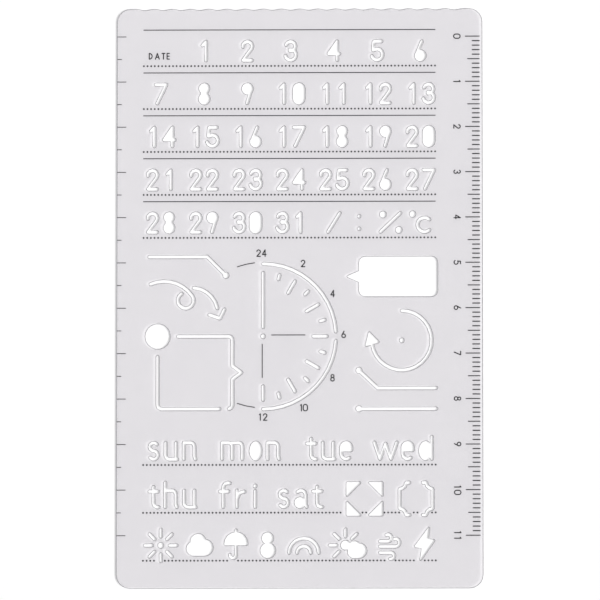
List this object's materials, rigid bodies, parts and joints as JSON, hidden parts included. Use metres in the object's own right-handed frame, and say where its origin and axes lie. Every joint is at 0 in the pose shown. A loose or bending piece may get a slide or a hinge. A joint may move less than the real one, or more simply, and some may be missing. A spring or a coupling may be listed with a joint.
{
  "type": "planner stencil",
  "caption": "Thin drawing stencil with a wavy edge, cut through with date figures, weekday names, weather signs, a half dial and note symbols, with a printed centimetre ruler.",
  "frame": {"origin": "middle of the sheet's underside", "axes": "+X towards the edge with the printed ruler, +Y towards the wavy edge, +Z out of the printed face"},
  "size_m": [0.0804, 0.1278, 0.0005],
  "materials": {
    "frosted_sheet": "smooth, slightly milky translucent plastic sheet",
    "printed_ink": "matt dark screen-printed ink film"
  },
  "bodies": {
    "root": {"stencil_sheet": "frosted_sheet", "dial_line_six": "printed_ink", "dial_line_twelve": "printed_ink", "dial_rim_bottom": "printed_ink", "dial_rim_top": "printed_ink", "left_cm_tick_0": "printed_ink", "left_cm_tick_1": "printed_ink", "left_cm_tick_10": "printed_ink", "left_cm_tick_11": "printed_ink", "left_cm_tick_2": "printed_ink", "left_cm_tick_3": "printed_ink", "left_cm_tick_4": "printed_ink", "left_cm_tick_5": "printed_ink", "left_cm_tick_6": "printed_ink", "left_cm_tick_7": "printed_ink", "left_cm_tick_8": "printed_ink", "left_cm_tick_9": "printed_ink", "left_half_tick_0": "printed_ink", "left_half_tick_1": "printed_ink", "left_half_tick_10": "printed_ink", "left_half_tick_2": "printed_ink", "left_half_tick_3": "printed_ink", "left_half_tick_4": "printed_ink", "left_half_tick_5": "printed_ink", "left_half_tick_6": "printed_ink", "left_half_tick_7": "printed_ink", "left_half_tick_8": "printed_ink", "left_half_tick_9": "printed_ink", "row_rule_1": "printed_ink", "row_rule_2": "printed_ink", "row_rule_3": "printed_ink", "row_rule_4": "printed_ink", "row_rule_5": "printed_ink", "ruler_cm_tick_0": "printed_ink", "ruler_cm_tick_1": "printed_ink", "ruler_cm_tick_10": "printed_ink", "ruler_cm_tick_11": "printed_ink", "ruler_cm_tick_2": "printed_ink", "ruler_cm_tick_3": "printed_ink", "ruler_cm_tick_4": "printed_ink", "ruler_cm_tick_5": "printed_ink", "ruler_cm_tick_6": "printed_ink", "ruler_cm_tick_7": "printed_ink", "ruler_cm_tick_8": "printed_ink", "ruler_cm_tick_9": "printed_ink", "ruler_half_tick_0": "printed_ink", "ruler_half_tick_1": "printed_ink", "ruler_half_tick_10": "printed_ink", "ruler_half_tick_2": "printed_ink", "ruler_half_tick_3": "printed_ink", "ruler_half_tick_4": "printed_ink", "ruler_half_tick_5": "printed_ink", "ruler_half_tick_6": "printed_ink", "ruler_half_tick_7": "printed_ink", "ruler_half_tick_8": "printed_ink", "ruler_half_tick_9": "printed_ink"}
  },
  "joints": []
}
